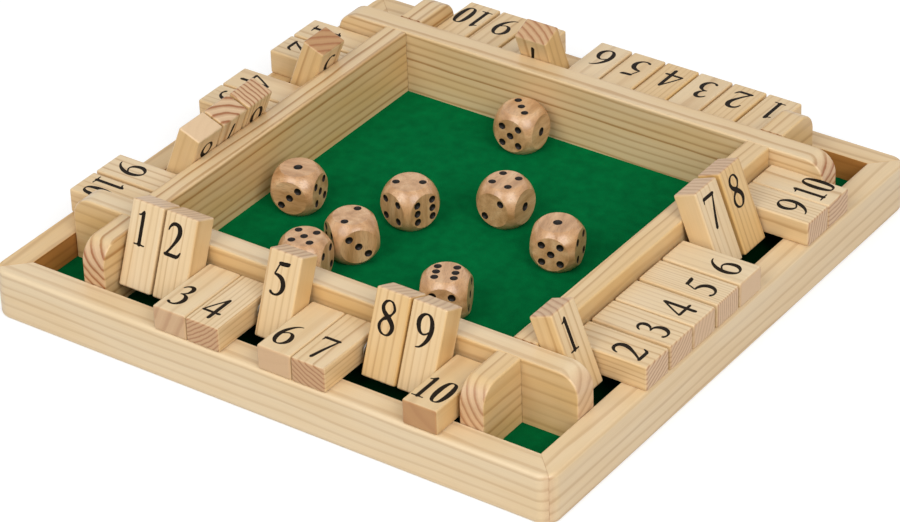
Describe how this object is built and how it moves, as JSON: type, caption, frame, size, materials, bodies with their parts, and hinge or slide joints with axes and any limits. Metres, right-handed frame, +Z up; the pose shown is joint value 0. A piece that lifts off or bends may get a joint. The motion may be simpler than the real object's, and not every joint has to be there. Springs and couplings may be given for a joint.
{
  "type": "shut the box game",
  "caption": "Square pine dice game: a green felt tray inside lapped boards, rows of hinged number tiles along every side, and rounded wooden dice.",
  "frame": {"origin": "centre of the square frame's underside, on the surface that the game stands on", "axes": "+Z up; +X to the right of the player at the front; the front player's row of tiles is on the -Y side, with the others on +X, +Y and -X"},
  "size_m": [0.305, 0.305, 0.0623],
  "materials": {
    "pine": "satin varnish over pale pine",
    "plywood": "bare matt plywood",
    "beech": "clear gloss lacquer over beech",
    "felt": "matt short-pile felt",
    "steel": "bright drawn wire"
  },
  "bodies": {
    "game_frame": {"outer_frame": "pine", "base_board": "plywood", "felt_lining": "felt", "front_board": "pine", "front_rod": "steel", "right_board": "pine", "right_rod": "steel", "back_board": "pine", "back_rod": "steel", "left_board": "pine", "left_rod": "steel"},
    "front_tile_1": {"front_tile_1": "pine"},
    "front_tile_2": {"front_tile_2": "pine"},
    "front_tile_3": {"front_tile_3": "pine"},
    "front_tile_4": {"front_tile_4": "pine"},
    "front_tile_5": {"front_tile_5": "pine"},
    "front_tile_6": {"front_tile_6": "pine"},
    "front_tile_7": {"front_tile_7": "pine"},
    "front_tile_8": {"front_tile_8": "pine"},
    "front_tile_9": {"front_tile_9": "pine"},
    "front_tile_10": {"front_tile_10": "pine"},
    "right_tile_1": {"right_tile_1": "pine"},
    "right_tile_2": {"right_tile_2": "pine"},
    "right_tile_3": {"right_tile_3": "pine"},
    "right_tile_4": {"right_tile_4": "pine"},
    "right_tile_5": {"right_tile_5": "pine"},
    "right_tile_6": {"right_tile_6": "pine"},
    "right_tile_7": {"right_tile_7": "pine"},
    "right_tile_8": {"right_tile_8": "pine"},
    "right_tile_9": {"right_tile_9": "pine"},
    "right_tile_10": {"right_tile_10": "pine"},
    "back_tile_1": {"back_tile_1": "pine"},
    "back_tile_2": {"back_tile_2": "pine"},
    "back_tile_3": {"back_tile_3": "pine"},
    "back_tile_4": {"back_tile_4": "pine"},
    "back_tile_5": {"back_tile_5": "pine"},
    "back_tile_6": {"back_tile_6": "pine"},
    "back_tile_7": {"back_tile_7": "pine"},
    "back_tile_8": {"back_tile_8": "pine"},
    "back_tile_9": {"back_tile_9": "pine"},
    "back_tile_10": {"back_tile_10": "pine"},
    "left_tile_1": {"left_tile_1": "pine"},
    "left_tile_2": {"left_tile_2": "pine"},
    "left_tile_3": {"left_tile_3": "pine"},
    "left_tile_4": {"left_tile_4": "pine"},
    "left_tile_5": {"left_tile_5": "pine"},
    "left_tile_6": {"left_tile_6": "pine"},
    "left_tile_7": {"left_tile_7": "pine"},
    "left_tile_8": {"left_tile_8": "pine"},
    "left_tile_9": {"left_tile_9": "pine"},
    "left_tile_10": {"left_tile_10": "pine"},
    "die_1": {"die_1": "beech"},
    "die_2": {"die_2": "beech"},
    "die_3": {"die_3": "beech"},
    "die_4": {"die_4": "beech"},
    "die_5": {"die_5": "beech"},
    "die_6": {"die_6": "beech"},
    "die_7": {"die_7": "beech"},
    "die_8": {"die_8": "beech"}
  },
  "joints": [
    {"name": "front_tile_1_hinge", "type": "hinge", "parent": "game_frame", "child": "front_tile_1", "pos_m": [-0.08632, -0.12122, 0.03175], "axis": [-1, 0, 0], "range_deg": [-111.3, 0]},
    {"name": "front_tile_2_hinge", "type": "hinge", "parent": "game_frame", "child": "front_tile_2", "pos_m": [-0.06707, -0.12122, 0.03175], "axis": [-1, 0, 0], "range_deg": [-111.3, 0]},
    {"name": "front_tile_3_hinge", "type": "hinge", "parent": "game_frame", "child": "front_tile_3", "pos_m": [-0.04872, -0.12122, 0.03175], "axis": [-1, 0, 0], "range_deg": [0, 111.3]},
    {"name": "front_tile_4_hinge", "type": "hinge", "parent": "game_frame", "child": "front_tile_4", "pos_m": [-0.03037, -0.12122, 0.03175], "axis": [-1, 0, 0], "range_deg": [0, 111.3]},
    {"name": "front_tile_5_hinge", "type": "hinge", "parent": "game_frame", "child": "front_tile_5", "pos_m": [-0.00953, -0.12122, 0.03175], "axis": [-1, 0, 0], "range_deg": [-111.3, 0]},
    {"name": "front_tile_6_hinge", "type": "hinge", "parent": "game_frame", "child": "front_tile_6", "pos_m": [0.00882, -0.12122, 0.03175], "axis": [-1, 0, 0], "range_deg": [0, 111.3]},
    {"name": "front_tile_7_hinge", "type": "hinge", "parent": "game_frame", "child": "front_tile_7", "pos_m": [0.02718, -0.12122, 0.03175], "axis": [-1, 0, 0], "range_deg": [0, 111.3]},
    {"name": "front_tile_8_hinge", "type": "hinge", "parent": "game_frame", "child": "front_tile_8", "pos_m": [0.04852, -0.12122, 0.03175], "axis": [-1, 0, 0], "range_deg": [-111.3, 0]},
    {"name": "front_tile_9_hinge", "type": "hinge", "parent": "game_frame", "child": "front_tile_9", "pos_m": [0.06747, -0.12122, 0.03175], "axis": [-1, 0, 0], "range_deg": [-111.3, 0]},
    {"name": "front_tile_10_hinge", "type": "hinge", "parent": "game_frame", "child": "front_tile_10", "pos_m": [0.08582, -0.12122, 0.03175], "axis": [-1, 0, 0], "range_deg": [0, 111.3]},
    {"name": "right_tile_1_hinge", "type": "hinge", "parent": "game_frame", "child": "right_tile_1", "pos_m": [0.12122, -0.08682, 0.03175], "axis": [0, -1, 0], "range_deg": [-111.3, 0]},
    {"name": "right_tile_2_hinge", "type": "hinge", "parent": "game_frame", "child": "right_tile_2", "pos_m": [0.12122, -0.06772, 0.03175], "axis": [0, -1, 0], "range_deg": [0, 111.3]},
    {"name": "right_tile_3_hinge", "type": "hinge", "parent": "game_frame", "child": "right_tile_3", "pos_m": [0.12122, -0.04822, 0.03175], "axis": [0, -1, 0], "range_deg": [0, 111.3]},
    {"name": "right_tile_4_hinge", "type": "hinge", "parent": "game_frame", "child": "right_tile_4", "pos_m": [0.12122, -0.02933, 0.03175], "axis": [0, -1, 0], "range_deg": [0, 111.3]},
    {"name": "right_tile_5_hinge", "type": "hinge", "parent": "game_frame", "child": "right_tile_5", "pos_m": [0.12122, -0.00962, 0.03175], "axis": [0, -1, 0], "range_deg": [0, 111.3]},
    {"name": "right_tile_6_hinge", "type": "hinge", "parent": "game_frame", "child": "right_tile_6", "pos_m": [0.12122, 0.00972, 0.03175], "axis": [0, -1, 0], "range_deg": [0, 111.3]},
    {"name": "right_tile_7_hinge", "type": "hinge", "parent": "game_frame", "child": "right_tile_7", "pos_m": [0.12122, 0.02948, 0.03175], "axis": [0, -1, 0], "range_deg": [-111.3, 0]},
    {"name": "right_tile_8_hinge", "type": "hinge", "parent": "game_frame", "child": "right_tile_8", "pos_m": [0.12122, 0.04972, 0.03175], "axis": [0, -1, 0], "range_deg": [-111.3, 0]},
    {"name": "right_tile_9_hinge", "type": "hinge", "parent": "game_frame", "child": "right_tile_9", "pos_m": [0.12122, 0.06915, 0.03175], "axis": [0, -1, 0], "range_deg": [0, 111.3]},
    {"name": "right_tile_10_hinge", "type": "hinge", "parent": "game_frame", "child": "right_tile_10", "pos_m": [0.12122, 0.08749, 0.03175], "axis": [0, -1, 0], "range_deg": [0, 111.3]},
    {"name": "back_tile_1_hinge", "type": "hinge", "parent": "game_frame", "child": "back_tile_1", "pos_m": [0.08612, 0.12122, 0.03175], "axis": [1, 0, 0], "range_deg": [0, 111.3]},
    {"name": "back_tile_2_hinge", "type": "hinge", "parent": "game_frame", "child": "back_tile_2", "pos_m": [0.06688, 0.12122, 0.03175], "axis": [1, 0, 0], "range_deg": [0, 111.3]},
    {"name": "back_tile_3_hinge", "type": "hinge", "parent": "game_frame", "child": "back_tile_3", "pos_m": [0.04793, 0.12122, 0.03175], "axis": [1, 0, 0], "range_deg": [0, 111.3]},
    {"name": "back_tile_4_hinge", "type": "hinge", "parent": "game_frame", "child": "back_tile_4", "pos_m": [0.02898, 0.12122, 0.03175], "axis": [1, 0, 0], "range_deg": [0, 111.3]},
    {"name": "back_tile_5_hinge", "type": "hinge", "parent": "game_frame", "child": "back_tile_5", "pos_m": [0.00992, 0.12122, 0.03175], "axis": [1, 0, 0], "range_deg": [0, 111.3]},
    {"name": "back_tile_6_hinge", "type": "hinge", "parent": "game_frame", "child": "back_tile_6", "pos_m": [-0.00923, 0.12122, 0.03175], "axis": [1, 0, 0], "range_deg": [0, 111.3]},
    {"name": "back_tile_7_hinge", "type": "hinge", "parent": "game_frame", "child": "back_tile_7", "pos_m": [-0.02888, 0.12122, 0.03175], "axis": [1, 0, 0], "range_deg": [-111.3, 0]},
    {"name": "back_tile_8_hinge", "type": "hinge", "parent": "game_frame", "child": "back_tile_8", "pos_m": [-0.04813, 0.12122, 0.03175], "axis": [1, 0, 0], "range_deg": [0, 111.3]},
    {"name": "back_tile_9_hinge", "type": "hinge", "parent": "game_frame", "child": "back_tile_9", "pos_m": [-0.06757, 0.12122, 0.03175], "axis": [1, 0, 0], "range_deg": [0, 111.3]},
    {"name": "back_tile_10_hinge", "type": "hinge", "parent": "game_frame", "child": "back_tile_10", "pos_m": [-0.08703, 0.12122, 0.03175], "axis": [1, 0, 0], "range_deg": [0, 111.3]},
    {"name": "left_tile_1_hinge", "type": "hinge", "parent": "game_frame", "child": "left_tile_1", "pos_m": [-0.12122, 0.08643, 0.03175], "axis": [0, 1, 0], "range_deg": [0, 111.3]},
    {"name": "left_tile_2_hinge", "type": "hinge", "parent": "game_frame", "child": "left_tile_2", "pos_m": [-0.12122, 0.06707, 0.03175], "axis": [0, 1, 0], "range_deg": [0, 111.3]},
    {"name": "left_tile_3_hinge", "type": "hinge", "parent": "game_frame", "child": "left_tile_3", "pos_m": [-0.12122, 0.04863, 0.03175], "axis": [0, 1, 0], "range_deg": [-111.3, 0]},
    {"name": "left_tile_4_hinge", "type": "hinge", "parent": "game_frame", "child": "left_tile_4", "pos_m": [-0.12122, 0.02908, 0.03175], "axis": [0, 1, 0], "range_deg": [0, 111.3]},
    {"name": "left_tile_5_hinge", "type": "hinge", "parent": "game_frame", "child": "left_tile_5", "pos_m": [-0.12122, 0.01013, 0.03175], "axis": [0, 1, 0], "range_deg": [0, 111.3]},
    {"name": "left_tile_6_hinge", "type": "hinge", "parent": "game_frame", "child": "left_tile_6", "pos_m": [-0.12122, -0.00932, 0.03175], "axis": [0, 1, 0], "range_deg": [-111.3, 0]},
    {"name": "left_tile_7_hinge", "type": "hinge", "parent": "game_frame", "child": "left_tile_7", "pos_m": [-0.12122, -0.02857, 0.03175], "axis": [0, 1, 0], "range_deg": [-111.3, 0]},
    {"name": "left_tile_8_hinge", "type": "hinge", "parent": "game_frame", "child": "left_tile_8", "pos_m": [-0.12122, -0.04763, 0.03175], "axis": [0, 1, 0], "range_deg": [-111.3, 0]},
    {"name": "left_tile_9_hinge", "type": "hinge", "parent": "game_frame", "child": "left_tile_9", "pos_m": [-0.12122, -0.06717, 0.03175], "axis": [0, 1, 0], "range_deg": [0, 111.3]},
    {"name": "left_tile_10_hinge", "type": "hinge", "parent": "game_frame", "child": "left_tile_10", "pos_m": [-0.12122, -0.08662, 0.03175], "axis": [0, 1, 0], "range_deg": [0, 111.3]},
    {"name": "die_1_lift", "type": "slide", "parent": "game_frame", "child": "die_1", "axis": [0, 0, 1], "range_m": [0, 0.05]},
    {"name": "die_2_lift", "type": "slide", "parent": "game_frame", "child": "die_2", "axis": [0, 0, 1], "range_m": [0, 0.05]},
    {"name": "die_3_lift", "type": "slide", "parent": "game_frame", "child": "die_3", "axis": [0, 0, 1], "range_m": [0, 0.05]},
    {"name": "die_4_lift", "type": "slide", "parent": "game_frame", "child": "die_4", "axis": [0, 0, 1], "range_m": [0, 0.05]},
    {"name": "die_5_lift", "type": "slide", "parent": "game_frame", "child": "die_5", "axis": [0, 0, 1], "range_m": [0, 0.05]},
    {"name": "die_6_lift", "type": "slide", "parent": "game_frame", "child": "die_6", "axis": [0, 0, 1], "range_m": [0, 0.05]},
    {"name": "die_7_lift", "type": "slide", "parent": "game_frame", "child": "die_7", "axis": [0, 0, 1], "range_m": [0, 0.05]},
    {"name": "die_8_lift", "type": "slide", "parent": "game_frame", "child": "die_8", "axis": [0, 0, 1], "range_m": [0, 0.05]}
  ]
}
